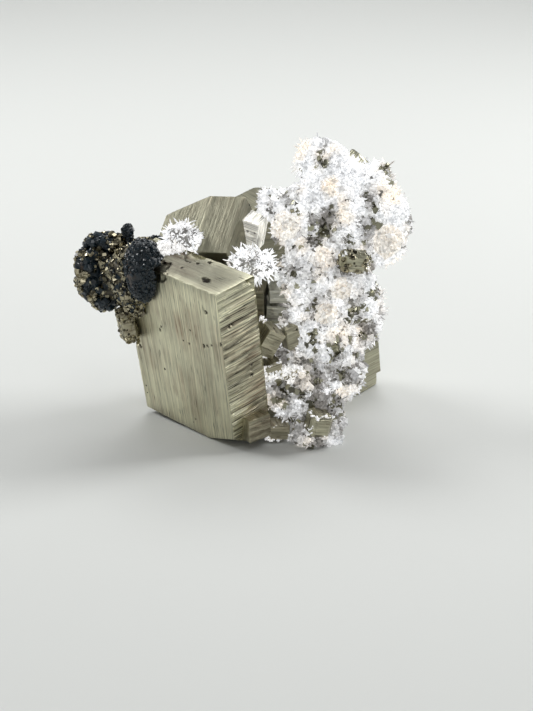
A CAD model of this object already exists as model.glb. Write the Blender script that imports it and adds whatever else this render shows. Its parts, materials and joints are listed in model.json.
"""A pyrite specimen: striated pyrite blocks with black sphalerite, a golden pyrite crust,
white quartz druse and cream dolomite, on a pale studio sweep.

Laid out as a Blender add-on and run as a script.  Each operator makes one piece, or a
group of like pieces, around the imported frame.  Lengths named _mm are millimetres.
"""

import itertools
import json
import math

import bmesh
import bpy
import numpy as np
from bpy.props import FloatProperty, FloatVectorProperty, PointerProperty
from mathutils import Euler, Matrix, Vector
from mathutils.noise import voronoi

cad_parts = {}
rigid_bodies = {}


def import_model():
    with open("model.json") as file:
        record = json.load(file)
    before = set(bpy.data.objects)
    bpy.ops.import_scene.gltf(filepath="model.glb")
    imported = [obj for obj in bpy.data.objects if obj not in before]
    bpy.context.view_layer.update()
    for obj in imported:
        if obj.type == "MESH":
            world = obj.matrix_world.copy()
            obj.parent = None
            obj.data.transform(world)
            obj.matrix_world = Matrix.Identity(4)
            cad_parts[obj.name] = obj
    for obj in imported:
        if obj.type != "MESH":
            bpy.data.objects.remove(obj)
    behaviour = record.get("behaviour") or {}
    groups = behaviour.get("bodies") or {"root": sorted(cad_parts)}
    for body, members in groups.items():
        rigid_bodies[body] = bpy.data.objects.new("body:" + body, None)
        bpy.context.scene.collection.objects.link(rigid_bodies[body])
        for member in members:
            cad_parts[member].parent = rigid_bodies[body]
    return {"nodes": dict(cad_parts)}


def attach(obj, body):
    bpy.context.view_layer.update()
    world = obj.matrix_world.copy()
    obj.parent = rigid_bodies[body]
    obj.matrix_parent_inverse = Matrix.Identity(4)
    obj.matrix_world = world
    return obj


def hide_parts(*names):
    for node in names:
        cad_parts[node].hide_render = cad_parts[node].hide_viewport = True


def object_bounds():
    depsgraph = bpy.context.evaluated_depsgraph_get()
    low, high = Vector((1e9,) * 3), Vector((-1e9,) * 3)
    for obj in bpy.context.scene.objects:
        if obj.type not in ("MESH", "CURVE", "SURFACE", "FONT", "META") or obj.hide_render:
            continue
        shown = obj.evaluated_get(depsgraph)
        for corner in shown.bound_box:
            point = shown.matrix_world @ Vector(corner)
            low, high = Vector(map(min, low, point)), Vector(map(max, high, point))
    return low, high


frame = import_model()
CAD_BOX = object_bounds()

bl_info = {
    "name": "Pyrite specimen",
    "version": (1, 0, 0),
    "blender": (4, 5, 0),
    "location": "3D View > Sidebar > Specimen",
    "description": "Finishes a pyrite, quartz and sphalerite specimen crystal by crystal",
    "category": "Object",
}

MM = 0.001
BODY = "root"

# centre and size in mm, turn in degrees about x, y then z, and extra facets in the block's
# own axes, each as a direction and a distance from the centre in mm
LARGE_BLOCK = {
    "main_pyrite_block": (
        (-8.75, -8.34, 18.6),
        (9.8, 30, 35.6),
        (2.8, -12.1, 41.6),
        [((-0.5, -0.27, -0.82), 18.3)],
    ),
}
BLOCKS = {
    "upper_pyrite_block": (
        (-8.85, 6.86, 35.9),
        (21.2, 12, 14.2),
        (-49.6, -4.1, -23.7),
        [((-0.49, -0.87, 0), 3.85)],
    ),
    "back_pyrite_block": (
        (4.55, 17.06, 35.8),
        (14, 11, 16),
        (0, -4, 24),
        [((-0.5, 0, 1), 7.3), ((0.3, 0, 1), 7.6)],
    ),
    "rear_pyrite_cube": ((6.15, 8.56, 9), (19, 24, 18), (0, 0, 14), []),
    "middle_pyrite_cube": ((-2.35, 7.06, 21), (16, 22, 15), (0, 0, -6), []),
    "right_pyrite_block": ((19.55, 14.76, 9.9), (14, 13, 13), (0, -7, 42), []),
    "right_lower_pyrite_block": ((19.65, 16.36, 2.5), (14, 13, 5), (0, 0, 56), []),
}
SMALL_PYRITES = {
    "bright_pyrite_cube": ((1.75, 4.56, 38.4), (5, 5, 7), (12, 14, -22), []),
    "gap_upper_pyrite_slab": ((8.1, -0.6, 27.2), (6, 7, 3), (0, 0, 4), []),
    "gap_lower_pyrite_slab": ((8.2, -0.8, 23.6), (6.4, 7, 3.4), (0, 0, -5), []),
    "wedge_pyrite_cube": ((4.75, -9.54, 20.2), (4.2, 5.2, 5.8), (14, 28, 30), []),
    "brown_pyrite_cube": ((9.55, -6.94, 19.8), (3.4, 4, 5), (-8, -12, 24), []),
    "niche_pyrite_cube": ((5.75, -10.54, 14.4), (4.2, 4, 4.2), (10, -14, 20), []),
    "ledge_pyrite_cube": ((9.95, -9.74, 12.6), (3.6, 4, 3.4), (-6, 12, 38), []),
    "foot_pyrite_block": ((2.15, -15.54, 4.3), (5.6, 5.2, 5), (0, -4, 36), []),
    "foot_pyrite_cube": ((6.85, -12.74, 2.3), (4.6, 4.8, 3.2), (0, 3, 12), []),
    "toe_pyrite_crystal": ((15.05, -16.54, 5.2), (5.2, 5, 5.6), (8, 10, 22), []),
    "belt_pyrite_crystal": ((22.15, -4.44, 34.8), (6.4, 4.4, 4.4), (0, 6, 8), []),
    "crown_pyrite_crystal": ((22.7, 9.3, 50.1), (5.4, 5.4, 6), (0, 44, 12), []),
    "knob_pyrite_crystal": ((-23.35, -2.54, 21), (3.4, 4, 7.6), (0, -12, 20), []),
}
GRANULAR_SPHALERITE = ("front_sphalerite", "rear_sphalerite", "nub_sphalerite")
PLATY_SPHALERITE = ("left_sphalerite", "ridge_sphalerite", "lower_sphalerite")
DOLOMITE = (
    "upper_left_dolomite",
    "upper_right_dolomite",
    "middle_dolomite",
    "waist_dolomite",
)
TUFTS = ("left_quartz_tuft", "middle_quartz_tuft")


# ---------------------------------------------------------------- settings


def length_mm(name, description, default):
    return FloatProperty(name=name, description=description, default=default, min=0.0)


def share(name, description, default):
    return FloatProperty(
        name=name, description=description, default=default, min=0.0, max=1.0, subtype="FACTOR"
    )


def colour(name, description, default):
    return FloatVectorProperty(
        name=name, description=description, default=default, size=3, subtype="COLOR", min=0, max=1
    )


class PyriteSettings(bpy.types.PropertyGroup):
    brass: colour("Brass", "Clean metal of the faces", (0.58, 0.565, 0.42))
    tarnish: colour("Tarnish", "Brown bloom along the striations", (0.30, 0.235, 0.165))
    pit: colour("Pits", "Dirt in pits and grooves", (0.035, 0.03, 0.025))
    bright: colour("Bright", "Freshly grown mirror faces", (0.95, 0.93, 0.85))
    gold: colour("Gold", "Small yellow crystals", (0.56, 0.51, 0.36))
    roughness: share("Roughness", "Roughness of the striated faces", 0.40)
    line_pitch: length_mm("Line pitch", "Width of one fine striation, in mm", 0.27)
    large_step: length_mm("Large block grid", "Mesh spacing on the large block, in mm", 0.22)
    block_step: length_mm("Block grid", "Mesh spacing on the other blocks, in mm", 0.28)
    small_step: length_mm("Small crystal grid", "Mesh spacing on small crystals, in mm", 0.16)
    edge_wear: length_mm("Edge wear", "Rounding of the crystal edges, in mm", 0.32)


class QuartzSettings(bpy.types.PropertyGroup):
    frost: colour("Frost", "White crystals", (0.96, 0.965, 0.97))
    clear: colour("Clear", "Grey, clearer crystals", (0.74, 0.75, 0.765))
    cream: colour("Cream", "Stained crystals", (0.91, 0.84, 0.75))
    ground: colour("Ground", "Dark matrix between the crystals", (0.17, 0.155, 0.14))
    spray: length_mm("Spray", "Distance between sprays, in mm", 2.6)


class DarkSettings(bpy.types.PropertyGroup):
    black: colour("Black", "Sphalerite", (0.005, 0.010, 0.014))
    rust: colour("Rust", "Iron stain in cracks", (0.16, 0.085, 0.04))
    grain: length_mm("Grain", "Size of a sphalerite grain, in mm", 0.8)
    plate: length_mm("Plate", "Size of a sphalerite plate, in mm", 1.4)


class DolomiteSettings(bpy.types.PropertyGroup):
    cream: colour("Cream", "Pale crystals", (0.95, 0.93, 0.89))
    peach: colour("Peach", "Warmer crystals", (0.90, 0.84, 0.76))
    rhomb: length_mm("Rhomb", "Size of one crystal, in mm", 0.95)


class StageSettings(bpy.types.PropertyGroup):
    floor: colour("Sweep", "Floor and backdrop", (0.65, 0.664, 0.645))
    overhead: FloatProperty(name="Overhead", description="Softbox above", default=0.6, unit="POWER")
    sides: FloatProperty(name="Sides", description="Each side box", default=1.8, unit="POWER")
    sky: FloatProperty(name="Sky", description="Light from all sides", default=0.58)
    front: FloatProperty(name="Front", description="High front box", default=0.8, unit="POWER")
    backdrop: FloatProperty(name="Back", description="Box over the back", default=4.4, unit="POWER")


# ---------------------------------------------------------------- noise


def hashed(cells, seed):
    """A repeatable value from 0 to 1 for each row of whole numbers."""
    weights = np.array((127.1, 311.7, 74.7))[: cells.shape[-1]]
    return np.mod(np.sin(cells @ weights + 19.19 * seed) * 43758.5453, 1.0)


def smooth_noise(points, seed):
    """Value noise from -1 to 1 over an (n, d) array, with cells one unit wide."""
    base = np.floor(points)
    part = points - base
    part = part * part * (3 - 2 * part)
    total = 0
    for corner in itertools.product((0, 1), repeat=points.shape[1]):
        near = np.where(np.array(corner) == 1, part, 1 - part).prod(axis=1)
        total = total + near * hashed(base + corner, seed)
    return 2 * total - 1


def fractal(points, seed, octaves=3):
    total = sum(smooth_noise(points * 2**k, seed + 7 * k) / 2**k for k in range(octaves))
    return total / (2 - 2.0 ** (1 - octaves))


# ---------------------------------------------------------------- meshes


def link(name, mesh):
    obj = bpy.data.objects.new(name, mesh)
    bpy.context.scene.collection.objects.link(obj)
    return obj


def attribute(mesh, name, values):
    layer = mesh.attributes.new(name, "FLOAT", "POINT")
    layer.data.foreach_set("value", np.asarray(values, np.float32))


def coordinates(mesh):
    points = np.empty(len(mesh.vertices) * 3)
    mesh.vertices.foreach_get("co", points)
    return points.reshape(-1, 3)


def vertex_normals(mesh):
    normals = np.empty(len(mesh.vertices) * 3, np.float32)
    mesh.vertex_normals.foreach_get("vector", normals)
    return normals.reshape(-1, 3).astype(float)


def move_points(mesh, points):
    mesh.vertices.foreach_set("co", points.astype(np.float32).ravel())
    mesh.update()


def evaluated_mesh(obj):
    """The object's evaluated mesh, with its modifiers removed from the object."""
    graph = bpy.context.evaluated_depsgraph_get()
    mesh = bpy.data.meshes.new_from_object(obj.evaluated_get(graph))
    obj.modifiers.clear()
    return mesh


def finish_piece(obj, nodes, material=None):
    """Hands a finished mesh to the frame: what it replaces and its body."""
    if material:
        obj.data.materials.clear()
        obj.data.materials.append(material)
    if nodes:
        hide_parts(*nodes)
    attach(obj, BODY)
    return obj


def domes(points, cell_mm, seed):
    """Rounded lumps, one to a cell: their height and how far each point is from a valley."""
    shift = Vector((seed * 1.7, seed * 2.3, seed * 3.1))
    nearest = [voronoi(Vector(place) + shift)[0][:2] for place in points / (cell_mm * MM)]
    near, following = np.array(nearest).T
    height = np.sqrt(np.clip(1 - (near / 0.8) ** 2, 0, 1))
    return height, np.clip((following - near) / 0.3, 0, 1)


def lump_surface(name, node, voxel_mm, sink_mm, lumps, rough_mm, seed):
    """The node's solid, remeshed fine, drawn in by sink_mm, grown over with domes and
    roughened.  lumps lists (cell, height) in mm.  Also gives the distance from a valley.
    """
    solid = bmesh.new()
    solid.from_mesh(frame["nodes"][node].data)
    bmesh.ops.remove_doubles(solid, verts=solid.verts, dist=0.01 * MM)
    mesh = bpy.data.meshes.new(name)
    solid.to_mesh(mesh)
    solid.free()
    obj = link(name, mesh)
    remesh = obj.modifiers.new("fine", "REMESH")
    remesh.mode = "VOXEL"
    remesh.voxel_size = voxel_mm * MM
    soften = obj.modifiers.new("soften", "SMOOTH")
    soften.iterations = 4
    obj.data = evaluated_mesh(obj)
    points, normals = coordinates(obj.data), vertex_normals(obj.data)
    lift = rough_mm * fractal(points / (1.1 * MM), seed) - sink_mm
    open_ground = np.ones(len(points))
    for order, (cell_mm, height_mm) in enumerate(lumps):
        height, clear = domes(points, cell_mm, seed + order)
        lift += height_mm * height
        open_ground = np.minimum(open_ground, clear)
    points += normals * lift[:, None] * MM
    points[:, 2] = np.maximum(points[:, 2], 0)
    move_points(obj.data, points)
    obj.data.shade_smooth()
    return obj, open_ground


# ---------------------------------------------------------------- pyrite blocks

LINES_ALONG = (2, 0, 1)  # the axis that striations follow on a face across axis 0, 1, 2


def edge_facets(half, share):
    """Planes that cut all twelve edges of a box, at a share of the way out to the edge."""
    planes = []
    for first, second in ((0, 1), (0, 2), (1, 2)):
        for signs in itertools.product((-1, 1), repeat=2):
            normal = np.zeros(3)
            normal[[first, second]] = signs
            planes.append((normal, share * (half[first] + half[second]) / math.sqrt(2)))
    return planes


def box_lattice(counts):
    """Whole-numbered points on a box's surface and its outward quads, by face axis."""
    grid = np.indices([count + 1 for count in counts]).reshape(3, -1).T
    on_shell = ((grid == 0) | (grid == counts)).any(axis=1)
    index = -np.ones(len(grid), int)
    index[on_shell] = np.arange(on_shell.sum())
    index = index.reshape([count + 1 for count in counts])
    quads, across_axis = [], []
    for axis, side in itertools.product(range(3), (0, 1)):
        face = np.take(index, side * counts[axis], axis=axis)
        ring = [face[:-1, :-1], face[1:, :-1], face[1:, 1:], face[:-1, 1:]]
        if (axis == 1) != (side == 0):
            ring.reverse()
        made = np.stack(ring, -1).reshape(-1, 4)
        quads.append(made)
        across_axis.append(np.full(len(made), axis))
    return grid[on_shell], np.concatenate(quads), np.concatenate(across_axis)


def striation_depth(across, along, seed, steps):
    """Depth in mm of growth steps that run along a face: [(pitch, rise, run, tilt)].

    Each lane has its own depth and tilt, and lanes end and change along their length.
    """
    depth = np.zeros(len(across))
    for order, (pitch, rise, run, slope) in enumerate(steps):
        key = seed + 13 * order
        drift = smooth_noise(np.stack([across / (3 * pitch), along / (2 * run)], -1), key)
        position = (across + 0.9 * pitch * drift) / pitch
        lane = np.floor(position)
        place = along / run + 5 * hashed(np.stack([lane, lane * 0], -1), key + 1)
        segment = np.floor(place)
        blend = np.clip((place - segment - 0.8) / 0.2, 0, 1)
        here = hashed(np.stack([lane, segment], -1), key + 2)
        there = hashed(np.stack([lane, segment + 1], -1), key + 2)
        tilt = (position - lane - 0.5) * (2 * hashed(np.stack([lane, segment], -1), key + 3) - 1)
        depth += rise * np.clip(here * (1 - blend) + there * blend + slope * tilt, 0, 1)
    return depth


def hollows(places, half, across_at, along_at, flat, seed):
    """Depth in mm of ragged bowls on a face, and how deep in a bowl each point is."""
    depth, mask = np.zeros(len(flat)), np.zeros(len(flat))
    for at_across, at_along, radius, deep in places:
        reach = np.hypot(
            flat[:, across_at] - at_across * half[across_at],
            (flat[:, along_at] - at_along * half[along_at]) * 0.8,
        )
        ragged = 1 + 0.4 * smooth_noise(flat / (0.5 * radius), seed)
        bowl = np.clip(1 - (reach / (radius * ragged)) ** 2, 0, 1)
        depth = np.maximum(depth, bowl**0.5 * deep)
        mask = np.maximum(mask, np.clip(bowl * 2.5, 0, 1))
    return depth, mask


def block_mesh(name, shape, step_mm, wear_mm, steps, seed, pits=(), chips=(), **form):
    """A crystal with real growth steps, worn edges, extra facets, pits and chips.

    steps[axis] are the striations on the two faces across that axis.  pits and chips are
    (axis, side, across, along, radius_mm, depth_mm) with places from -1 to 1; pits are
    dark.  form may give lines_along, bevel (see edge_facets), the brightness (tones) and the
    contrast (lined) of the faces across each axis, and taper_mm, which draws in the foot of
    the face across -y.
    """
    centre, size, turn, facets = shape
    axes = np.array(Euler([math.radians(angle) for angle in turn]).to_matrix()).T
    half = np.array(size) / 2
    along_axes = form.get("lines_along", LINES_ALONG)
    counts = np.maximum(np.round(2 * half / step_mm).astype(int), 6)
    lattice, quads, across_axis = box_lattice(counts)
    flat = (lattice / counts * 2 - 1) * half
    wear = wear_mm * (1 + 0.8 * smooth_noise(flat / 1.3, seed))[:, None]
    wear = np.minimum(wear, half.min() * 0.6)
    inner = np.clip(flat, -half + wear, half - wear)
    out = flat - inner
    spread = np.linalg.norm(out, axis=1, keepdims=True)
    shaped = inner + out / np.maximum(spread, 1e-9) * np.minimum(spread, wear)
    near_edge = np.sort(half - np.abs(flat), axis=1)[:, 1]
    groove = np.zeros(len(flat))
    pit_mask = np.zeros(len(flat))
    for axis, side in itertools.product(range(3), (-1, 1)):
        on_face = lattice[:, axis] == (0 if side < 0 else counts[axis])
        along_at = along_axes[axis]
        across_at = 3 - axis - along_at
        here = flat[on_face]
        face = seed + 5 * axis + side
        lines = striation_depth(here[:, across_at], here[:, along_at], face, steps[axis])
        swell = 0.07 * (1 + fractal(here / 4.0, seed + axis + 3))
        chosen = [place[2:] for place in pits if place[:2] == (axis, side)]
        sunk, dark = hollows(chosen, half, across_at, along_at, here, seed + 31)
        chosen = [place[2:] for place in chips if place[:2] == (axis, side)]
        broken, _ = hollows(chosen, half, across_at, along_at, here, seed + 37)
        shaped[on_face, axis] -= side * (lines + swell + sunk + broken)
        pit_mask[on_face] = np.maximum(pit_mask[on_face], dark)
        total = sum(step[1] for step in steps[axis])
        groove[on_face] = np.maximum(groove[on_face], lines / total)
    foot = (0.5 - flat[:, 2] / (2 * half[2])) * (0.5 - flat[:, 1] / (2 * half[1]))
    shaped[:, 1] += form.get("taper_mm", 0) * foot
    cuts = list(facets)
    if "bevel" in form:
        cuts += edge_facets(half, form["bevel"])
    for direction, reach in cuts:
        normal = np.array(direction) / np.linalg.norm(direction)
        over = shaped @ normal - reach
        beyond = over > 0
        side_axis = np.eye(3)[np.argmin(np.abs(normal))]
        across = shaped[beyond] @ np.cross(normal, side_axis)
        along = shaped[beyond] @ side_axis
        lines = striation_depth(across, along, seed + 71, [(0.5, 0.05, 5, 1), (1.9, 0.07, 9, 1)])
        shaped[beyond] -= normal * (over[beyond] + lines)[:, None]
    mesh = bpy.data.meshes.new(name)
    placed = shaped @ axes + centre
    placed[:, 2] = np.maximum(placed[:, 2], 0)
    mesh.from_pydata((placed * MM).tolist(), [], quads.tolist())
    uv = mesh.uv_layers.new(name="lines")
    corner_axis = np.repeat(across_axis, 4)
    corner_at = flat[quads.ravel()]
    pairs = np.zeros((len(corner_at), 2))
    for axis in range(3):
        chosen = corner_axis == axis
        along_at = along_axes[axis]
        pairs[chosen, 0] = corner_at[chosen, 3 - axis - along_at] + 40 * axis
        pairs[chosen, 1] = corner_at[chosen, along_at]
    uv.data.foreach_set("uv", pairs.ravel())
    near = np.exp(-6 * (half - np.abs(flat)) / half.min()) + 1e-6
    near /= near.sum(axis=1, keepdims=True)
    attribute(mesh, "tone", near @ form.get("tones", (1, 1, 1)))
    attribute(mesh, "lined", near @ form.get("lined", (1, 1, 1)))
    attribute(mesh, "groove", groove)
    attribute(mesh, "pit", pit_mask)
    attribute(mesh, "edge", np.exp(-near_edge / 0.35))
    mesh.shade_smooth()
    mesh.set_sharp_from_angle(angle=math.radians(35))
    return mesh


def scattered_pits(count, seed):
    """Small pits spread over all six faces."""
    rng = np.random.default_rng(seed)
    return [
        (
            int(rng.integers(3)),
            int(rng.choice((-1, 1))),
            rng.uniform(-0.9, 0.9),
            rng.uniform(-0.9, 0.9),
            rng.uniform(0.2, 0.32),
            rng.uniform(0.12, 0.3),
        )
        for _ in range(count)
    ]


# ---------------------------------------------------------------- node trees


def add_node(tree, kind, inputs=None, **settings):
    """One node: settings are its properties, inputs are values or sockets to link."""
    made = tree.nodes.new(kind)
    for name, value in settings.items():
        setattr(made, name, value)
    for key, value in (inputs or {}).items():
        if isinstance(value, bpy.types.NodeSocket):
            tree.links.new(value, made.inputs[key])
        else:
            made.inputs[key].default_value = value
    return made


def maths(tree, operation, first, second=0.0, third=0.0, clamp=False):
    made = add_node(
        tree, "ShaderNodeMath", {0: first, 1: second, 2: third}, operation=operation, use_clamp=clamp
    )
    return made.outputs[0]


def vector_maths(tree, operation, first, second=(0, 0, 0), scale=1.0):
    inputs = {0: first, 1: second} if operation != "SCALE" else {0: first, "Scale": scale}
    made = add_node(tree, "ShaderNodeVectorMath", inputs, operation=operation)
    return made.outputs[0]


def ramp(tree, value, low, high, to_low=0.0, to_high=1.0):
    made = add_node(
        tree, "ShaderNodeMapRange",
        {"Value": value, "From Min": low, "From Max": high, "To Min": to_low, "To Max": to_high},
    )
    return made.outputs["Result"]


def mix_colour(tree, factor, first, second):
    inputs = {0: factor, 6: first, 7: second}
    return add_node(tree, "ShaderNodeMix", inputs, data_type="RGBA").outputs[2]


def noise_value(tree, vector, scale, detail=3.0, roughness=0.55):
    made = add_node(
        tree, "ShaderNodeTexNoise",
        {"Vector": vector, "Scale": scale, "Detail": detail, "Roughness": roughness},
    )
    return made.outputs["Fac"]


def shader_group(name, inputs, outputs, build):
    """A node group with named sockets, built once; build(tree, sockets) gives its outputs."""
    if name in bpy.data.node_groups:
        return bpy.data.node_groups[name]
    tree = bpy.data.node_groups.new(name, "ShaderNodeTree")
    for label, kind, default in inputs:
        socket = tree.interface.new_socket(label, in_out="INPUT", socket_type=kind)
        if default is not None:
            socket.default_value = default
    for label, kind in outputs:
        tree.interface.new_socket(label, in_out="OUTPUT", socket_type=kind)
    start = tree.nodes.new("NodeGroupInput")
    end = tree.nodes.new("NodeGroupOutput")
    for label, value in build(tree, start.outputs).items():
        tree.links.new(value, end.inputs[label])
    return tree


FLOAT, VECTOR = "NodeSocketFloat", "NodeSocketVector"


def striation_group():
    """Fine lines along a face: Lines is (across, along) in mm."""

    def build(tree, given):
        stretched = []
        for across, along in ((1.0, 0.022), (0.3, 0.012), (2.3, 0.2)):
            scaled = vector_maths(tree, "MULTIPLY", given["Lines"], (across, along, 1))
            over = vector_maths(tree, "DIVIDE", scaled, given["Pitch"])
            stretched.append(noise_value(tree, over, 1.0, 2.0, 0.6))
        fine, broad, grain = stretched
        both = maths(tree, "MULTIPLY_ADD", broad, 1.1, fine)
        height = maths(tree, "MULTIPLY_ADD", grain, 0.35, both)
        thin = []
        for across, along, shift in ((2.1, 0.05, 0), (2.6, 0.09, 30)):
            there = vector_maths(tree, "ADD", given["Lines"], (shift, shift, 0))
            there = vector_maths(tree, "MULTIPLY", there, (across, along, 1))
            thin.append(ramp(tree, noise_value(tree, there, 1.0, 1.0, 0.5), 0.54, 0.62))
        short = vector_maths(tree, "MULTIPLY", given["Lines"], (3.2, 0.26, 1))
        dash = noise_value(tree, short, 1.0, 1.0, 0.5)
        return {
            "Height": height, "Streak": ramp(tree, broad, 0.36, 0.66), "Fine": fine,
            "Dash": ramp(tree, dash, 0.66, 0.74), "Crest": thin[0], "Trough": thin[1],
        }

    return shader_group(
        "striations", [("Lines", VECTOR, None), ("Pitch", FLOAT, 0.28)],
        [(label, FLOAT) for label in ("Height", "Streak", "Fine", "Dash", "Crest", "Trough")],
        build,
    )


def speckle_group():
    """Small round spots, such as pits or specks of dirt, where Position is in metres."""

    def build(tree, given):
        cells = add_node(
            tree, "ShaderNodeTexVoronoi",
            {"Vector": given["Position"], "Scale": given["Scale"], "Randomness": 1.0},
        )
        pick = add_node(tree, "ShaderNodeSeparateColor", {"Color": cells.outputs["Color"]})
        chosen = maths(tree, "LESS_THAN", pick.outputs[0], given["Share"])
        size = maths(tree, "MULTIPLY", pick.outputs[1], given["Size"])
        spot = maths(tree, "SUBTRACT", 1.0, maths(tree, "DIVIDE", cells.outputs["Distance"], size))
        soft = maths(tree, "MULTIPLY", spot, 4.0, clamp=True)
        return {"Mask": maths(tree, "MULTIPLY", soft, chosen)}

    return shader_group(
        "speckle",
        [
            ("Position", VECTOR, None), ("Scale", FLOAT, 600.0), ("Share", FLOAT, 0.2),
            ("Size", FLOAT, 0.4),
        ],
        [("Mask", FLOAT)], build,
    )


def new_material(name):
    made = bpy.data.materials.new(name)
    made.use_nodes = True
    tree = made.node_tree
    return made, tree, tree.nodes["Principled BSDF"]


def read_attribute(tree, name):
    return add_node(tree, "ShaderNodeAttribute", attribute_name=name).outputs["Fac"]


def object_place(tree):
    return add_node(tree, "ShaderNodeTexCoord").outputs["Object"]


def rgba(value):
    return (*value, 1.0)


def set_bump(tree, shader, height, distance_mm):
    bump = add_node(tree, "ShaderNodeBump", {"Height": height, "Distance": distance_mm * MM})
    tree.links.new(bump.outputs["Normal"], shader.inputs["Normal"])


def pyrite_material(
    name, base, tarnish, roughness, bump_mm, contrast=1.0, specks=0.05, sheen=0, glint=0
):
    """Striated metal with brown bloom in the grooves, dark pits and bright worn edges.

    sheen is how far it is from metal; glint is light for faces as bright as a lamp.
    """
    options = bpy.context.scene.specimen_pyrite
    made, tree, shader = new_material(name)
    lines = add_node(tree, "ShaderNodeUVMap", uv_map="lines").outputs["UV"]
    place = object_place(tree)
    stria = add_node(tree, "ShaderNodeGroup", node_tree=striation_group())
    tree.links.new(lines, stria.inputs["Lines"])
    stria.inputs["Pitch"].default_value = options.line_pitch
    spots = add_node(tree, "ShaderNodeGroup", node_tree=speckle_group())
    tree.links.new(place, spots.inputs["Position"])
    spots.inputs["Scale"].default_value = 700.0
    spots.inputs["Share"].default_value = specks
    spots.inputs["Size"].default_value = 0.3
    cloud = noise_value(tree, place, 130.0, 4.0)
    bloom = ramp(tree, noise_value(tree, place, 75.0, 3.0), 0.42, 0.70)
    streaky = maths(tree, "MULTIPLY", stria.outputs["Streak"], bloom)
    groove = read_attribute(tree, "groove")
    bloom_all = maths(tree, "MULTIPLY", streaky, tarnish * 1.5, clamp=True)
    tone = mix_colour(tree, bloom_all, rgba(base), rgba(options.tarnish))
    low, high = 1 - 0.30 * contrast, 1 + 0.14 * contrast
    shade = ramp(tree, cloud, 0.3, 0.7, 0.92, 1.05)
    shade = maths(tree, "MULTIPLY", shade, ramp(tree, groove, 0.1, 0.9, high, low))
    fine = ramp(tree, stria.outputs["Fine"], 0.32, 0.68, low, high)
    shade = maths(tree, "MULTIPLY", shade, fine)
    shade = maths(tree, "MULTIPLY_ADD", stria.outputs["Crest"], 0.22 * contrast, shade)
    shade = maths(tree, "MULTIPLY_ADD", stria.outputs["Trough"], -0.26 * contrast, shade)
    varied = maths(tree, "SUBTRACT", shade, 1.0)
    shade = maths(tree, "MULTIPLY_ADD", varied, read_attribute(tree, "lined"), 1.0)
    shade = maths(tree, "MULTIPLY", shade, read_attribute(tree, "tone"))
    shaded = vector_maths(tree, "SCALE", tone, scale=shade)
    edge = read_attribute(tree, "edge")
    worn = maths(tree, "MULTIPLY", edge, 0.3)
    edged = mix_colour(tree, worn, shaded, rgba([min(1, 1.3 * part) for part in base]))
    dashes = maths(tree, "MULTIPLY", stria.outputs["Dash"], 0.6 * contrast)
    dirt = maths(tree, "MAXIMUM", read_attribute(tree, "pit"), spots.outputs["Mask"])
    dirt = maths(tree, "MAXIMUM", dirt, dashes)
    final = mix_colour(tree, maths(tree, "MULTIPLY", dirt, 0.92), edged, rgba(options.pit))
    tree.links.new(final, shader.inputs["Base Color"])
    tree.links.new(final, shader.inputs["Emission Color"])
    shader.inputs["Emission Strength"].default_value = glint
    metal = maths(tree, "SUBTRACT", 1.0 - sheen, maths(tree, "MULTIPLY", dirt, 0.5))
    tree.links.new(metal, shader.inputs["Metallic"])
    rough = ramp(tree, cloud, 0.3, 0.7, roughness - 0.06, roughness + 0.08)
    rough = maths(tree, "MULTIPLY_ADD", dirt, 0.35, rough)
    tree.links.new(rough, shader.inputs["Roughness"])
    height = maths(tree, "SUBTRACT", stria.outputs["Height"], maths(tree, "MULTIPLY", dirt, 1.2))
    set_bump(tree, shader, height, bump_mm)
    return made


def crystal_material(name, dull, bright, tint_spread, metallic, roughness, glow=0.0):
    """Small loose crystals: each has its own tint, and a stain where the surface has one."""
    options = bpy.context.scene.specimen_quartz
    made, tree, shader = new_material(name)
    place = object_place(tree)
    tint = read_attribute(tree, "tint")
    own = mix_colour(tree, ramp(tree, tint, 0.5 - tint_spread, 0.5 + tint_spread), dull, bright)
    stained = mix_colour(tree, read_attribute(tree, "cream"), own, rgba(options.cream))
    shaded = mix_colour(tree, read_attribute(tree, "shade"), stained, rgba(options.ground))
    mottle = ramp(tree, noise_value(tree, place, 900.0, 2.0), 0.3, 0.7, 0.9, 1.06)
    tree.links.new(vector_maths(tree, "SCALE", shaded, scale=mottle), shader.inputs["Base Color"])
    shader.inputs["Metallic"].default_value = metallic
    rough = ramp(tree, tint, 0.0, 1.0, roughness - 0.08, roughness + 0.12)
    tree.links.new(rough, shader.inputs["Roughness"])
    if glow:  # daylight that scatters inside a clear crystal, less where it is cloudy
        cloud = ramp(tree, noise_value(tree, place, 1900.0, 1.0), 0.35, 0.65, 0.35, 1.6)
        inside = vector_maths(tree, "SCALE", shaded, scale=cloud)
        tree.links.new(inside, shader.inputs["Emission Color"])
        shader.inputs["Emission Strength"].default_value = glow
    return made


def rock_material(name, pale, dark, stain, roughness, metallic=0.0, bump_mm=0.12, scale=420.0):
    """The ground that small crystals grow on: mottled, grainy, with a stain in places."""
    made, tree, shader = new_material(name)
    place = object_place(tree)
    mottle = ramp(tree, noise_value(tree, place, scale, 4.0), 0.36, 0.66)
    ground = mix_colour(tree, mottle, rgba(dark), rgba(pale))
    patch = ramp(tree, noise_value(tree, place, scale * 0.3, 3.0), 0.55, 0.75, 0.0, 0.7)
    final = mix_colour(tree, patch, ground, rgba(stain))
    tree.links.new(final, shader.inputs["Base Color"])
    shader.inputs["Metallic"].default_value = metallic
    grain = noise_value(tree, place, scale * 3.2, 3.0)
    tree.links.new(
        ramp(tree, grain, 0.3, 0.7, roughness - 0.1, roughness + 0.1), shader.inputs["Roughness"]
    )
    set_bump(tree, shader, grain, bump_mm)
    return made


# ---------------------------------------------------------------- scattered crystals


def random_value(tree, greatest, seed, offset):
    """A value from 0 to greatest for each crystal, different for each offset of the seed."""
    own_seed = maths(tree, "ADD", seed, offset)
    inputs = {2: 0.0, 3: greatest, "Seed": own_seed}
    return add_node(tree, "FunctionNodeRandomValue", inputs, data_type="FLOAT").outputs[1]


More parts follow.
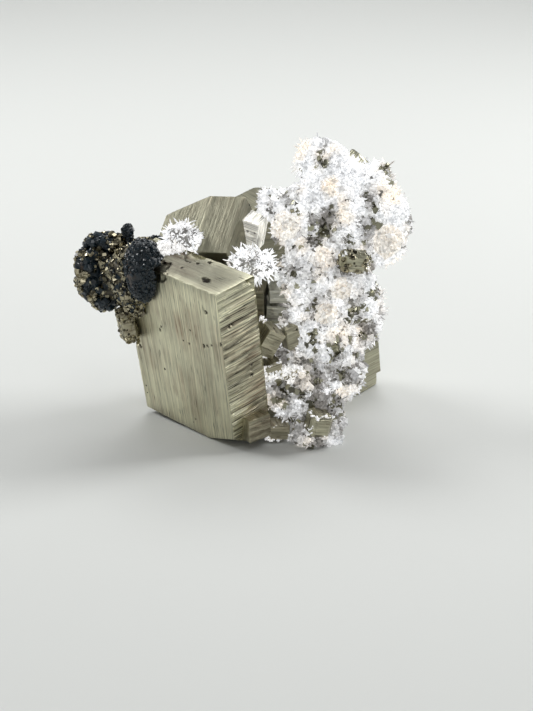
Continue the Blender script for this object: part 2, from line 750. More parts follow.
def scatter_tree():
    """Geometry Nodes: crystals that stand on a surface in sprays.

    The surface's growth attribute thins them out, and each crystal keeps the surface's
    cream and shade attributes and gets a tint of its own.
    """
    name = "crystal growth"
    if name in bpy.data.node_groups:
        return bpy.data.node_groups[name]
    tree = bpy.data.node_groups.new(name, "GeometryNodeTree")
    for label, kind, default in (
        ("Surface", "NodeSocketGeometry", None),
        ("Crystal", "NodeSocketObject", None),
        ("Density", FLOAT, 1e6),
        ("Least length", FLOAT, 0.001),
        ("Greatest length", FLOAT, 0.002),
        ("Width", FLOAT, 0.2),
        ("Spray size", FLOAT, 0.003),
        ("Lean", FLOAT, 1.0),
        ("Disorder", FLOAT, 0.3),
        ("Sink", FLOAT, 0.0),
        ("Seed", "NodeSocketInt", 0),
        ("Finish", "NodeSocketMaterial", None),
    ):
        socket = tree.interface.new_socket(label, in_out="INPUT", socket_type=kind)
        if default is not None:
            socket.default_value = default
    tree.interface.new_socket("Crystals", in_out="OUTPUT", socket_type="NodeSocketGeometry")
    given = tree.nodes.new("NodeGroupInput").outputs
    end = tree.nodes.new("NodeGroupOutput")

    growth = add_node(tree, "GeometryNodeInputNamedAttribute", {"Name": "growth"}, data_type="FLOAT")
    density = maths(tree, "MULTIPLY", given["Density"], growth.outputs["Attribute"])
    spread = add_node(
        tree, "GeometryNodeDistributePointsOnFaces",
        {"Mesh": given["Surface"], "Density": density, "Seed": given["Seed"]},
        distribute_method="RANDOM",
    )
    out = spread.outputs["Normal"]
    place = add_node(tree, "GeometryNodeInputPosition").outputs["Position"]
    cells = add_node(
        tree, "ShaderNodeTexVoronoi",
        {"Vector": vector_maths(tree, "DIVIDE", place, given["Spray size"]), "Scale": 1.0},
    )
    heart = vector_maths(tree, "MULTIPLY", cells.outputs["Position"], given["Spray size"])
    away = vector_maths(tree, "SUBTRACT", place, heart)
    away = vector_maths(tree, "DIVIDE", away, given["Spray size"])
    lean = vector_maths(tree, "SCALE", away, scale=given["Lean"])
    jitter = add_node(
        tree, "FunctionNodeRandomValue", {0: (-1, -1, -1), 1: (1, 1, 1), "Seed": given["Seed"]},
        data_type="FLOAT_VECTOR",
    )
    jitter = vector_maths(tree, "SCALE", jitter.outputs[0], scale=given["Disorder"])
    facing = vector_maths(tree, "ADD", vector_maths(tree, "ADD", out, lean), jitter)
    upright = add_node(tree, "FunctionNodeAlignRotationToVector", {"Vector": facing}, axis="Z")
    spin = random_value(tree, math.tau, given["Seed"], 5.0)
    turn = add_node(tree, "ShaderNodeCombineXYZ", {"Z": spin})
    turned = add_node(
        tree, "FunctionNodeRotateRotation",
        {"Rotation": upright.outputs[0], "Rotate By": turn.outputs[0]}, rotation_space="LOCAL",
    )
    pick = random_value(tree, 1.0, given["Seed"], 9.0)
    middle = ramp(tree, cells.outputs["Distance"], 0.15, 0.75, 1.0, 0.45)
    length = ramp(tree, maths(tree, "MULTIPLY", pick, middle), 0.0, 1.0)
    span = maths(tree, "SUBTRACT", given["Greatest length"], given["Least length"])
    length = maths(tree, "MULTIPLY_ADD", length, span, given["Least length"])
    width = maths(tree, "MULTIPLY", length, given["Width"])
    size = add_node(tree, "ShaderNodeCombineXYZ", {"X": width, "Y": width, "Z": length})
    down = maths(tree, "MULTIPLY", given["Sink"], -1.0)
    sunk = add_node(
        tree,
        "GeometryNodeSetPosition",
        {"Geometry": spread.outputs["Points"], "Offset": vector_maths(tree, "SCALE", out, scale=down)},
    )
    crystal = add_node(tree, "GeometryNodeObjectInfo", {"Object": given["Crystal"]})
    stand = add_node(
        tree, "GeometryNodeInstanceOnPoints",
        {
            "Points": sunk.outputs["Geometry"], "Instance": crystal.outputs["Geometry"],
            "Rotation": turned.outputs[0], "Scale": size.outputs[0],
        },
    )
    tinted = add_node(
        tree, "GeometryNodeStoreNamedAttribute", {"Geometry": stand.outputs[0], "Name": "tint"},
        data_type="FLOAT", domain="INSTANCE",
    )
    tree.links.new(random_value(tree, 1.0, given["Seed"], 17.0), tinted.inputs["Value"])
    real = add_node(tree, "GeometryNodeRealizeInstances", {"Geometry": tinted.outputs[0]})
    done = add_node(
        tree, "GeometryNodeSetMaterial", {"Geometry": real.outputs[0], "Material": given["Finish"]},
    )
    tree.links.new(done.outputs[0], end.inputs[0])
    return tree


def grow_crystals(
    name, surface, crystal, finish, seed, per_mm2, least_mm, greatest_mm, sink_mm,
    width=1.0, spray_mm=3.0, lean=0.4, disorder=0.9,
):
    """Scatters a crystal over a surface and gives the result as one plain mesh piece."""
    host = link(name + "_host", surface.data)
    tree = scatter_tree()
    growth = host.modifiers.new("growth", "NODES")
    growth.node_group = tree
    named = {
        item.name: item.identifier
        for item in tree.interface.items_tree
        if item.item_type == "SOCKET" and item.in_out == "INPUT"
    }
    for label, value in (
        ("Crystal", crystal), ("Finish", finish), ("Seed", seed), ("Density", per_mm2 / MM**2),
        ("Least length", least_mm * MM), ("Greatest length", greatest_mm * MM), ("Width", width),
        ("Spray size", spray_mm * MM), ("Lean", lean), ("Disorder", disorder),
        ("Sink", sink_mm * MM),
    ):
        growth[named[label]] = value
    mesh = evaluated_mesh(host)
    mesh.name = name
    points = coordinates(mesh)
    points[:, 2] = np.maximum(points[:, 2], 0)
    move_points(mesh, points)
    bpy.data.objects.remove(host)
    if not len(mesh.polygons):
        raise RuntimeError(f"{name} has no crystals")
    return finish_piece(link(name, mesh), ())


def prototype(name, points):
    """A unit crystal for scattering; it is removed before the frame is finished."""
    if name in bpy.data.objects:
        return bpy.data.objects[name]
    solid = bmesh.new()
    verts = [solid.verts.new(point) for point in points]
    bmesh.ops.convex_hull(solid, input=verts)
    bmesh.ops.recalc_face_normals(solid, faces=solid.faces)
    mesh = bpy.data.meshes.new(name)
    solid.to_mesh(mesh)
    solid.free()
    obj = link(name, mesh)
    obj.hide_render = True
    return obj


def needle():
    """A six-sided quartz prism with a slightly lopsided point, one unit long."""
    sides = 6
    shoulder = (0.74, 0.68, 0.76, 0.70, 0.78, 0.66)
    ring = [(math.cos(k * math.tau / sides), math.sin(k * math.tau / sides)) for k in range(sides)]
    points = [(0.42 * x, 0.42 * y, 0.0) for x, y in ring]
    points += [(0.5 * x, 0.5 * y, shoulder[k]) for k, (x, y) in enumerate(ring)]
    points += [(0.06, -0.04, 1.0)]
    return prototype("needle_prototype", points)


def grain():
    """A rounded crystal with many faces, about one unit across."""
    short, long = 0.25, 0.5
    points = [p for p in itertools.product((-0.36, 0.36), repeat=3)]
    for first, second in itertools.product((-1, 1), repeat=2):
        points += [
            (0, first * short * 0.9, second * long), (first * short * 0.9, second * long, 0),
            (second * long, 0, first * short * 0.9),
        ]
    return prototype("grain_prototype", points)


def small_cube():
    """A cube with its corners cut, one unit across."""
    cut = 0.14
    points = []
    for signs in itertools.product((-0.5, 0.5), repeat=3):
        for axis in range(3):
            corner = list(signs)
            corner[axis] -= math.copysign(cut, corner[axis])
            points.append(corner)
    return prototype("cube_prototype", points)


def rhomb():
    """A rhomb one unit across that stands on a corner: dolomite, or stubby quartz."""
    lean = 0.24
    points = []
    for x, y, z in itertools.product((-0.5, 0.5), repeat=3):
        points.append((x + lean * z, y + lean * x, z + lean * y + 0.3))
    return prototype("rhomb_prototype", points)


def plate():
    """A flat, sharp-edged sphalerite crystal."""
    points = []
    for k in range(5):
        angle = k * math.tau / 5 + 0.3 * (k % 2)
        points.append((0.55 * math.cos(angle), 0.5 * math.sin(angle), -0.2))
        points.append((0.34 * math.cos(angle + 0.2), 0.38 * math.sin(angle), 0.32))
    return prototype("plate_prototype", points)


def cover(surface, **layers):
    """Sets the attributes that a surface's crystals read: growth, cream and shade."""
    mesh = surface.data
    for label, value in layers.items():
        if label in mesh.attributes:
            mesh.attributes.remove(mesh.attributes[label])
        attribute(mesh, label, np.broadcast_to(value, len(mesh.vertices)))


# ---------------------------------------------------------------- operators


class SPECIMEN_OT_large_block(bpy.types.Operator):
    """Makes the large striated block"""

    bl_idname = "specimen.large_block"
    bl_label = "Large pyrite block"

    # growth steps on the faces across each axis: (pitch, rise, run, tilt) in mm
    STEPS = {
        0: [(0.45, 0.03, 6.0, 0.5), (1.1, 0.03, 12.0, 0.4), (3.4, 0.05, 26.0, 0.4)],
        1: [(0.5, 0.16, 4.0, 1.6), (1.0, 0.22, 8.0, 1.2), (2.6, 0.18, 12.0, 0.6)],
        2: [(1.6, 0.03, 8.0, 0.5)],
    }
    # the pits that stand out: axis, side, across, along, radius and depth in mm
    PITS = (
        (2, 1, -0.37, -0.56, 0.75, 0.7),
        (2, 1, -0.30, -0.49, 0.4, 0.4),
        (2, 1, 0.36, 0.08, 0.45, 0.4),
        (2, 1, 0.42, -0.10, 0.35, 0.3),
        (2, 1, 0.62, 0.02, 0.5, 0.4),
        (2, 1, 0.75, -0.22, 0.4, 0.4),
        (0, -1, -0.73, 0.72, 0.36, 0.4),
        (0, -1, -0.27, 0.20, 0.26, 0.3),
        (0, -1, -0.59, 0.26, 0.36, 0.4),
        (0, -1, -0.66, 0.275, 0.28, 0.3),
        (0, -1, -0.76, 0.31, 0.24, 0.3),
        (0, -1, -0.95, 0.38, 0.34, 0.3),
        (0, -1, 0.34, 0.22, 0.32, 0.35),
        (0, -1, 0.30, 0.27, 0.26, 0.3),
        (0, -1, 0.93, -0.02, 0.5, 0.6),
        (0, -1, 0.88, -0.14, 0.4, 0.5),
        (1, -1, -0.18, 0.36, 0.36, 0.25),
        (1, -1, -0.05, 0.40, 0.30, 0.25),
    )
    CHIPS = (
        (0, -1, 0.22, 1.0, 2.4, 0.6),
        (0, -1, 0.97, -0.04, 1.5, 0.9),
        (2, 1, -0.7, 0.25, 2.2, 0.6),
        (2, 1, 0.9, 0.1, 2.2, 0.8),
        (1, -1, 1.0, 0.9, 1.6, 0.8),
    )

    def execute(self, context):
        options = context.scene.specimen_pyrite
        metal = pyrite_material("striated_pyrite", options.brass, 0.95, options.roughness, 0.06, 1.15)
        for node, shape in LARGE_BLOCK.items():
            mesh = block_mesh(
                node + "_grown", shape, options.large_step, options.edge_wear, self.STEPS, 11,
                list(self.PITS) + scattered_pits(12, 5), self.CHIPS, taper_mm=1.8,
                tones=(1.3, 1.4, 0.33), lined=(0.6, 1.6, 0.35),
            )
            finish_piece(link(node + "_grown", mesh), [node], metal)
        return {"FINISHED"}


class SPECIMEN_OT_blocks(bpy.types.Operator):
    """Makes the other large pyrite blocks"""

    bl_idname = "specimen.blocks"
    bl_label = "Pyrite blocks"

    STEPS = {
        0: [(0.6, 0.06, 6.0, 1.0), (1.5, 0.08, 11.0, 0.6)],
        1: [(0.6, 0.04, 9.0, 0.6), (1.7, 0.05, 14.0, 0.4)],
        2: [(0.55, 0.05, 7.0, 1.0), (1.4, 0.06, 12.0, 0.6)],
    }
    FORMS = {
        "upper_pyrite_block": {
            "lines_along": (2, 2, 0),
            "tones": (0.68, 0.68, 0.68),
            "lined": (0.7, 0.7, 0.7),
        },
        "back_pyrite_block": {"bevel": 0.86, "tones": (0.86, 0.86, 0.86)},
    }

    def execute(self, context):
        options = context.scene.specimen_pyrite
        olive = [0.74 * part for part in options.brass]
        dusty = [0.5 * part for part in options.brass]
        metals = {
            "open": pyrite_material("olive_pyrite", olive, 0.35, options.roughness, 0.05, 0.8),
            "deep": pyrite_material("dusty_pyrite", dusty, 0.8, 0.55, 0.06, 0.9, 0.2),
        }
        for order, (node, shape) in enumerate(BLOCKS.items()):
            mesh = block_mesh(
                node + "_grown", shape, options.block_step, options.edge_wear * 0.8, self.STEPS,
                50 + 9 * order, scattered_pits(6, 40 + order), **self.FORMS.get(node, {}),
            )
            metal = metals["deep" if node == "middle_pyrite_cube" else "open"]
            finish_piece(link(node + "_grown", mesh), [node], metal)
        return {"FINISHED"}


class SPECIMEN_OT_small_pyrites(bpy.types.Operator):
    """Makes the small pyrite crystals along the gap, the foot and the druse"""

    bl_idname = "specimen.small_pyrites"
    bl_label = "Small pyrites"

    STEPS = {axis: [(0.4, 0.07, 2.0, 1.0), (1.1, 0.14, 3.5, 1.0)] for axis in range(3)}
    FINISHES = {
        "bright_pyrite_cube": "bright",
        "crown_pyrite_crystal": "plain",
        "belt_pyrite_crystal": "plain",
        "gap_upper_pyrite_slab": "pale",
        "gap_lower_pyrite_slab": "pale",
        "toe_pyrite_crystal": "plain",
    }
    BEVELS = {
        "toe_pyrite_crystal": 0.74,
        "belt_pyrite_crystal": 0.72,
        "crown_pyrite_crystal": 0.9,
        "brown_pyrite_cube": 0.86,
        "niche_pyrite_cube": 0.84,
        "knob_pyrite_crystal": 0.8,
        "foot_pyrite_block": 0.93,
    }

    def execute(self, context):
        options = context.scene.specimen_pyrite
        pale = [0.5 * a + 0.5 * b for a, b in zip(options.brass, (0.6, 0.62, 0.62))]
        brown = [0.75 * a + 0.25 * b for a, b in zip(options.brass, options.tarnish)]
        rough = options.roughness
        metals = {
            "bright": pyrite_material("bright_pyrite", options.bright, 0.0, 0.25, 0.05, 1.6, 0.0, 0.8, 0.45),
            "brown": pyrite_material("brown_pyrite", brown, 0.7, rough, 0.06, 1.0, 0.1),
            "pale": pyrite_material("pale_pyrite", pale, 0.2, 0.35, 0.04, 0.8, 0.05, 0.5),
            "plain": pyrite_material("small_pyrite", options.brass, 0.35, rough - 0.08, 0.04),
        }
        for order, (node, shape) in enumerate(SMALL_PYRITES.items()):
            mesh = block_mesh(
                node + "_grown", shape, options.small_step, options.edge_wear * 0.6, self.STEPS,
                120 + 9 * order, scattered_pits(3, 90 + order), bevel=self.BEVELS.get(node, 0.97),
            )
            metal = metals[self.FINISHES.get(node, "brown")]
            finish_piece(link(node + "_grown", mesh), [node], metal)
        return {"FINISHED"}


class SPECIMEN_OT_sphalerite(bpy.types.Operator):
    """Makes the black sphalerite: granular lumps and ones of larger crystals"""

    bl_idname = "specimen.sphalerite"
    bl_label = "Sphalerite"

    def execute(self, context):
        options = context.scene.specimen_dark
        rock = rock_material(
            "black_rock", [2 * c for c in options.black], options.black, options.rust, 0.4
        )
        gloss = crystal_material(
            "black_crystals", rgba(options.black), rgba([2.5 * c for c in options.black]), 0.5, 0.0, 0.16
        )
        yellow = context.scene.specimen_pyrite.gold
        gold = crystal_material(
            "gold_glitter", rgba([0.3 * c for c in yellow]), rgba(yellow), 0.5, 1.0, 0.2
        )
        for order, node in enumerate(GRANULAR_SPHALERITE + PLATY_SPHALERITE):
            coarse = node in PLATY_SPHALERITE
            body, _ = lump_surface(node + "_body", node, 0.32, 0.7, [(2.0, 0.5)], 0.25, 200 + order)
            patchy = fractal(coordinates(body.data) / (2.2 * MM), 260 + order)
            cover(body, growth=1.0, cream=0.0, shade=0.0)
            finish_piece(body, [node], rock)
            size = options.plate if coarse else options.grain
            layers = ((0.8, 1.5, 0.55), (0.35, 0.8, 1.3)) if coarse else ((0.7, 1.4, 1.0),)
            for layer, (least, greatest, crowd) in enumerate(layers):
                grow_crystals(
                    f"{node}_crystals_{layer}", body, grain(),
                    per_mm2=crowd * 1.8 / size**2, least_mm=least * size,
                    greatest_mm=greatest * size, spray_mm=4, lean=0.3, sink_mm=0.15 * size,
                    seed=210 + 10 * order + layer, finish=gloss,
                )
            if not coarse:
                continue
            cover(body, growth=np.clip(patchy * 4 - 0.4, 0, 1))
            grow_crystals(
                node + "_gold", body, small_cube(), per_mm2=5.0, least_mm=0.3,
                greatest_mm=1.0, sink_mm=-0.25, seed=270 + order, finish=gold,
            )
        return {"FINISHED"}


class SPECIMEN_OT_pyrite_crust(bpy.types.Operator):
    """Makes the glittering pyrite crust between the sphalerite crystals"""

    bl_idname = "specimen.pyrite_crust"
    bl_label = "Pyrite crust"

    # small pyrites that have a coat of grains, as the crust has
    GRAINY = ("knob_pyrite_crystal", "belt_pyrite_crystal")

    def execute(self, context):
        pyrite, dark = context.scene.specimen_pyrite, context.scene.specimen_dark
        rock = rock_material("crust_rock", (0.13, 0.11, 0.07), dark.black, dark.rust, 0.45, 0.5)
        body, _ = lump_surface("crust_body", "pyrite_crust", 0.35, 0.6, [(2.2, 0.6)], 0.5, 300)
        spots = coordinates(body.data) / (2.6 * MM)
        cover(body, growth=np.clip(0.6 + 0.9 * smooth_noise(spots, 301), 0.15, 1), cream=0, shade=0)
        finish_piece(body, ["pyrite_crust"], rock)
        gold = crystal_material(
            "gold_grains", rgba([0.06 * c for c in pyrite.gold]), rgba(pyrite.gold), 0.5, 1.0, 0.16
        )
        black = crystal_material(
            "crust_black", rgba(dark.black), rgba([3 * c for c in dark.black]), 0.5, 0.0, 0.2
        )
        for name, crystal, count, low, high, finish, seed in (
            ("crust_cubes", small_cube(), 3.0, 0.4, 1.1, gold, 310),
            ("crust_grains", grain(), 8.0, 0.25, 0.65, gold, 320),
            ("crust_plates", plate(), 2.0, 0.6, 1.5, black, 330),
        ):
            grow_crystals(
                name, body, crystal, per_mm2=count, least_mm=low, greatest_mm=high,
                sink_mm=0.12, seed=seed, finish=finish,
            )
        for order, node in enumerate(self.GRAINY):
            host = bpy.data.objects[node + "_grown"]
            spread = fractal(coordinates(host.data) / (1.8 * MM), 340 + order)
            cover(host, growth=np.clip(spread * 3 + 0.6, 0, 1), cream=0, shade=0)
            grow_crystals(
                node + "_grains", host, grain(), per_mm2=3.0, least_mm=0.4,
                greatest_mm=1.3, sink_mm=0.15, seed=345 + order, finish=gold,
            )
        return {"FINISHED"}


def patches(points, places, seed):
    """1 inside upright columns, given as (x, z, radius) in mm, and 0 outside them."""
    ragged = 0.45 * fractal(points / (1.4 * MM), seed)
    inside = np.zeros(len(points))
    for x, z, radius in places:
        away = np.hypot(points[:, 0] - x * MM, points[:, 2] - z * MM) / (radius * MM)
        inside = np.maximum(inside, np.clip((1 + ragged - away) * 3, 0, 1))
    return inside


class SPECIMEN_OT_quartz_druse(bpy.types.Operator):
    """Makes the frosty quartz druse: its ground, its crystals and the small pyrites on it"""

    bl_idname = "specimen.quartz_druse"
    bl_label = "Quartz druse"

    # name, growth, crystals per mm2, least and greatest length in mm, width, lean, sink
    LAYERS = (
        ("druse_sugar_a", "sugar", 3.5, 0.3, 0.9, 1.0, 0.4, 0.15),
        ("druse_sugar_b", "sugar", 0.9, 0.8, 1.6, 1.0, 0.4, 0.35),
        ("druse_points", "points", 3.4, 0.5, 1.6, 0.36, 1.0, 0.15),
        ("druse_needles", "needles", 6.0, 0.8, 2.6, 0.15, 1.6, 0.1),
    )
    # x, z and radius in mm of the cream patches and of the nests of small pyrites
    CREAM = (
        (9.1, 41.5, 2.4), (17.6, 49.1, 2.0), (30.1, 46.1, 1.8), (28.7, 37.4, 2.7),
        (19.8, 29.4, 1.6), (16.1, 25.0, 1.8), (11.3, 54.5, 1.2), (7.5, 32.3, 1.2),
    )
    NESTS = (
        (22.9, 23.4, 2.7), (30.3, 50.5, 2.4), (14.9, 40.3, 2.0), (10.0, 44.9, 1.6),
        (21.2, 38.5, 1.6), (14.6, 18.7, 1.6), (8.6, 11.9, 2.0), (6.0, 8.0, 1.8),
        (19.7, 11.3, 1.4), (17.6, 17.7, 1.4), (26.4, 27.1, 1.6), (23.3, 54.5, 1.2),
        (15.6, 53.9, 1.2),
    )
    # how much of each small pyrite is overgrown by quartz
    OVERGROWN = {
        "niche_pyrite_cube": 0.5,
        "ledge_pyrite_cube": 0.75,
        "brown_pyrite_cube": 0.3,
        "wedge_pyrite_cube": 0.15,
        "foot_pyrite_block": 0.1,
        "foot_pyrite_cube": 0.35,
        "toe_pyrite_crystal": 0.3,
        "belt_pyrite_crystal": 0.3,
        "crown_pyrite_crystal": 0.15,
        "main_pyrite_block": 0.9,
        "upper_pyrite_block": 0.9,
    }
    # where the larger blocks are overgrown: a point and a reach, in mm
    CLOSE_TO = {
        "main_pyrite_block": ((-14.0, -2.5, 35.0), 4.6),
        "upper_pyrite_block": ((-11.5, 0.5, 37.0), 4.2),
    }

    def execute(self, context):
        options = context.scene.specimen_quartz
        body, growths, tints = self.make_ground(options)
        frost = crystal_material(
            "frosted_quartz", rgba(options.clear), rgba(options.frost), 0.4, 0.0, 0.3, 0.39
        )
        for order, (name, kind, count, least, greatest, width, lean, sink) in enumerate(self.LAYERS):
            cover(body, growth=growths[kind], **tints)
            crystal = rhomb() if kind == "sugar" else needle()
            grow_crystals(
                name, body, crystal, frost, 410 + order, count, least, greatest, sink,
                width=width, spray_mm=options.spray, lean=lean, disorder=0.45,
            )
        for order, (node, amount) in enumerate(self.OVERGROWN.items()):
            self.overgrow(node, amount, frost, options, order)
        self.add_pyrites(body, growths, context.scene.specimen_pyrite)
        return {"FINISHED"}

    def make_ground(self, options):
        """The lumpy matrix, how thick each kind of crystal stands on it, and its stains."""
        body, clear = lump_surface(
            "druse_ground", "quartz_druse", 0.4, 3.0, [(3.9, 2.4), (1.7, 1.1)], 0.35, 400
        )
        points = coordinates(body.data)
        cream = patches(points, self.CREAM, 401)
        cream = np.maximum(cream, np.clip(fractal(points / (4 * MM), 402) * 2.6 - 0.35, 0, 0.8))
        nest = patches(points, self.NESTS, 405)
        valley = 1 - clear
        height = np.clip((points[:, 2] / MM - 16) / 28, 0, 1)
        dirty = fractal(points / (3.6 * MM), 403) * 2.2 + 0.5 - 0.5 * height + 0.5 * nest
        dirty = np.clip(dirty, 0, 1)
        blotch = np.clip(fractal(points / (1.5 * MM), 407) * 2.6 - 0.1, 0, 1)
        shade = 1.0 * valley * dirty + 0.6 * blotch * (0.15 + dirty) - 0.3 * cream
        sprays = np.clip(smooth_noise(points / (4 * MM), 404) * 3 - 0.2, 0, 1)
        growths = {
            "sugar": np.clip(1 - 0.6 * valley * dirty - 0.5 * nest, 0, 1),
            "points": np.clip(0.25 + 0.75 * clear - 0.5 * dirty, 0.1, 1),
            "needles": sprays * np.clip(clear + 0.3, 0, 1) + 0.05,
            "pyrites": np.clip(nest + 0.35 * valley * dirty, 0.012, 1),
            "specks": np.clip(1.1 * blotch * dirty * (0.3 + valley) + 0.6 * valley * dirty, 0.0, 1),
        }
        ground = rock_material(
            "druse_rock", (0.84, 0.83, 0.81), options.ground, (0.70, 0.63, 0.55), 0.6
        )
        finish_piece(body, ["quartz_druse"], ground)
        return body, growths, {"cream": cream, "shade": np.clip(shade, 0, 0.9)}

    def overgrow(self, node, amount, frost, options, order):
        """Quartz on a pyrite crystal, thickest along its edges."""
        host = bpy.data.objects[node + "_grown"]
        places = coordinates(host.data)
        edge = np.empty(len(places), np.float32)
        host.data.attributes["edge"].data.foreach_get("value", edge)
        spread = fractal(places / (2.2 * MM), 440 + order) + 0.5 * edge
        thick = np.clip((spread + 1.6 * amount - 0.9) * 3, 0, 1)
        if node in self.CLOSE_TO:
            place, reach = self.CLOSE_TO[node]
            away = np.linalg.norm(places / MM - place, axis=1)
            thick *= np.clip(reach - away, 0, 1)
        if not (thick > 0.2).any():
            return
        cover(host, growth=thick, cream=0.2 * thick, shade=0)
        grow_crystals(
            node + "_overgrowth", host, needle(), frost, 450 + order, 12.0, 0.3, 1.3, 0.1,
            width=0.5, spray_mm=options.spray, lean=1.0, disorder=0.6,
        )

    def add_pyrites(self, body, growths, pyrite):
        """Dark specks in the hollows, and nests of small bronze pyrites."""
        soot = crystal_material(
            "druse_specks", rgba((0.14, 0.135, 0.125)), rgba((0.5, 0.48, 0.44)), 0.5, 0.1, 0.45
        )
        dark, light = (rgba([part * level for part in pyrite.brass]) for level in (0.28, 0.8))
        bronze = crystal_material("druse_bronze", dark, light, 0.4, 1.0, 0.26)
        cover(body, growth=growths["specks"], cream=0, shade=0)
        grow_crystals(
            "druse_specks", body, small_cube(), soot, 425, 3.2, 0.2, 0.75, -0.25,
            lean=0.3,
        )
        cover(body, growth=growths["pyrites"], cream=0, shade=0)
        grow_crystals(
            "druse_pyrites", body, small_cube(), bronze, 430, 1.5, 0.4, 1.6, -0.2,
            spray_mm=5, lean=0.3, disorder=0.8,
        )


class SPECIMEN_OT_quartz_tufts(bpy.types.Operator):
    """Makes the two tufts of quartz needles that stand on their own"""

    bl_idname = "specimen.quartz_tufts"
    bl_label = "Quartz tufts"

    # crystals per mm2, least and greatest length in mm, width
    LAYERS = ((8.0, 0.4, 1.2, 0.40), (3.6, 0.9, 3.0, 0.13))

    def execute(self, context):
        options = context.scene.specimen_quartz
        frost = crystal_material(
            "tuft_quartz", rgba(options.clear), rgba(options.frost), 0.3, 0.0, 0.25, 0.56
        )
        ground = rock_material(
            "tuft_rock", (0.55, 0.54, 0.52), (0.16, 0.15, 0.14), (0.6, 0.50, 0.42), 0.6
        )
        for order, node in enumerate(TUFTS):
            body, clear = lump_surface(
                node + "_ground", node, 0.3, 2.1, [(3.0, 2.2)], 0.6, 500 + order
            )
            cream = np.clip(fractal(coordinates(body.data) / (2.5 * MM), 505) * 2 - 0.5, 0, 0.7)
            cover(body, growth=np.clip(clear, 0.15, 1), cream=cream, shade=0.25 * (1 - clear))
            finish_piece(body, [node], ground)
            for layer, (count, least, greatest, width) in enumerate(self.LAYERS):
                grow_crystals(
                    f"{node}_needles_{layer}", body, needle(), per_mm2=count,
                    least_mm=least, greatest_mm=greatest, width=width, spray_mm=options.spray,
                    lean=1.1, disorder=0.4, sink_mm=0.1, seed=510 + 10 * order + layer,
                    finish=frost,
                )
        return {"FINISHED"}


class SPECIMEN_OT_dolomite(bpy.types.Operator):
    """Makes the groups of cream dolomite rhombs"""

    bl_idname = "specimen.dolomite"
    bl_label = "Dolomite"

    def execute(self, context):
        options = context.scene.specimen_dolomite
        rock = rock_material("dolomite_rock", options.cream, options.peach, (0.7, 0.6, 0.5), 0.5)
        satin = crystal_material(
            "dolomite_crystals", rgba(options.peach), rgba(options.cream), 0.3, 0.0, 0.35, 0.36
        )
        for order, node in enumerate(DOLOMITE):
            body, clear = lump_surface(
                node + "_body", node, 0.28, 1.7, [(1.7, 1.5)], 0.5, 600 + order
            )
            cover(body, growth=1.0, cream=0.0, shade=0.4 * (1 - clear))
            finish_piece(body, [node], rock)
            grow_crystals(
                node + "_rhombs", body, rhomb(), per_mm2=4.5,
                least_mm=0.4 * options.rhomb, greatest_mm=1.5 * options.rhomb, spray_mm=2, lean=0.5,
                disorder=0.8, sink_mm=0.15, seed=610 + order, finish=satin,
            )
        return {"FINISHED"}


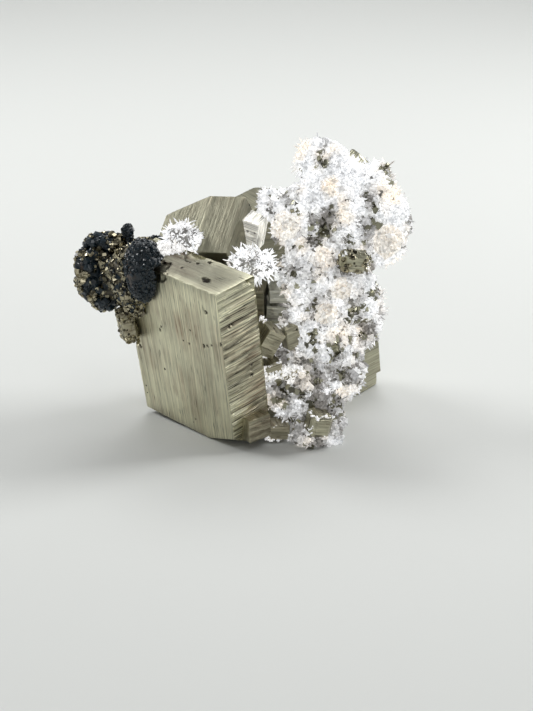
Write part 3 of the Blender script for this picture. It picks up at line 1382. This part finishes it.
class SPECIMEN_OT_stage(bpy.types.Operator):
    """Makes the pale sweep, the soft lights and the camera"""

    bl_idname = "specimen.stage"
    bl_label = "Stage"

    CAMERA_MM = (4.85, -323.84, 128.0)
    CAMERA_DOWN = 19.5  # degrees below the horizon
    LENS = 85.0
    BACKDROP_FOOT = (0, 0.7, 0)  # where the lamp of the backdrop points

    def execute(self, context):
        options = context.scene.specimen_stage
        self.make_sweep(options)
        self.make_lights(options)
        camera = bpy.data.cameras.new("camera")
        camera.lens = self.LENS
        camera.clip_start, camera.clip_end = 0.01, 10
        eye = link("camera", camera)
        eye.location = Vector(self.CAMERA_MM) * MM
        eye.rotation_euler = (math.radians(90 - self.CAMERA_DOWN), 0, 0)
        context.scene.camera = eye
        context.scene.view_settings.view_transform = "Standard"
        return {"FINISHED"}

    def make_sweep(self, options):
        """A floor that curves up into a wall behind the specimen."""
        half_width, front, back, wall, bend = 2.5, -1.5, 1.7, 1.8, 0.6
        profile = [(front, 0.0)]
        for k in range(13):
            angle = k * math.pi / 24
            profile.append((back - bend + bend * math.sin(angle), bend - bend * math.cos(angle)))
        profile.append((back, wall))
        solid = bmesh.new()
        rails = [
            [solid.verts.new((x, y, z)) for y, z in profile] for x in (-half_width, half_width)
        ]
        for k in range(len(profile) - 1):
            solid.faces.new((rails[0][k], rails[1][k], rails[1][k + 1], rails[0][k + 1]))
        mesh = bpy.data.meshes.new("sweep")
        solid.to_mesh(mesh)
        solid.free()
        mesh.shade_smooth()
        made, _, shader = new_material("sweep_paper")
        shader.inputs["Base Color"].default_value = rgba(options.floor)
        shader.inputs["Roughness"].default_value = 0.75
        sweep = link("sweep", mesh)
        mesh.materials.append(made)

    def make_lights(self, options):
        world = bpy.data.worlds.new("studio")
        world.use_nodes = True
        tree = world.node_tree
        sky = tree.nodes["Background"]
        towards = add_node(tree, "ShaderNodeTexCoord").outputs["Generated"]
        part = add_node(tree, "ShaderNodeSeparateXYZ", {"Vector": towards})
        above = ramp(tree, part.outputs["Z"], 0.05, 0.6, 1.0, 0.2)
        behind = ramp(tree, part.outputs["Y"], -0.9, 0.2, 1.0, 0.8)
        level = maths(tree, "MULTIPLY", maths(tree, "MULTIPLY", above, behind), options.sky)
        tree.links.new(level, sky.inputs["Strength"])
        sky.inputs["Color"].default_value = (1.0, 1.0, 1.0, 1.0)
        bpy.context.scene.world = world
        low, high = CAD_BOX
        target = (low + high) / 2
        for name, place, size, power in (
            ("back_box", (0.0, 0.72, 0.80), 0.6, options.backdrop),
            ("overhead", (-0.02, 0.14, 0.62), 0.36, options.overhead),
            ("front_box", (0.10, -0.55, 0.80), 0.30, options.front),
            ("left_box", (-0.46, 0.20, 0.40), 0.26, options.sides),
            ("right_box", (0.48, 0.18, 0.36), 0.26, 1.3 * options.sides),
        ):
            lamp = bpy.data.lights.new(name, "AREA")
            lamp.shape = "SQUARE"
            lamp.size = size
            lamp.energy = power
            obj = link(name, lamp)
            obj.location = Vector(place)
            aim = Vector(self.BACKDROP_FOOT) if name == "back_box" else target
            facing = aim - obj.location
            obj.rotation_euler = facing.to_track_quat("-Z", "Y").to_euler()


# ---------------------------------------------------------------- add-on

SETTINGS = (
    ("specimen_pyrite", PyriteSettings),
    ("specimen_quartz", QuartzSettings),
    ("specimen_dark", DarkSettings),
    ("specimen_dolomite", DolomiteSettings),
    ("specimen_stage", StageSettings),
)
OPERATORS = (
    SPECIMEN_OT_large_block,
    SPECIMEN_OT_blocks,
    SPECIMEN_OT_small_pyrites,
    SPECIMEN_OT_sphalerite,
    SPECIMEN_OT_pyrite_crust,
    SPECIMEN_OT_quartz_druse,
    SPECIMEN_OT_quartz_tufts,
    SPECIMEN_OT_dolomite,
    SPECIMEN_OT_stage,
)


class SPECIMEN_PT_panel(bpy.types.Panel):
    """Lists the specimen's pieces and their sizes and colours"""

    bl_idname = "SPECIMEN_PT_panel"
    bl_label = "Pyrite specimen"
    bl_space_type = "VIEW_3D"
    bl_region_type = "UI"
    bl_category = "Specimen"

    def draw(self, context):
        for name, group in SETTINGS:
            box = self.layout.box()
            for key in group.__annotations__:
                box.prop(getattr(context.scene, name), key)
        for operator in OPERATORS:
            self.layout.operator(operator.bl_idname)


def register():
    for name, group in SETTINGS:
        bpy.utils.register_class(group)
        setattr(bpy.types.Scene, name, PointerProperty(type=group))
    for made in (*OPERATORS, SPECIMEN_PT_panel):
        bpy.utils.register_class(made)


def unregister():
    for made in (SPECIMEN_PT_panel, *reversed(OPERATORS)):
        bpy.utils.unregister_class(made)
    for name, group in reversed(SETTINGS):
        delattr(bpy.types.Scene, name)
        bpy.utils.unregister_class(group)


def main():
    register()
    for operator in OPERATORS:
        group, call = operator.bl_idname.split(".")
        getattr(getattr(bpy.ops, group), call)()
    for obj in list(bpy.data.objects):
        if obj.name.endswith("_prototype"):
            bpy.data.objects.remove(obj)


if __name__ == "__main__":
    main()
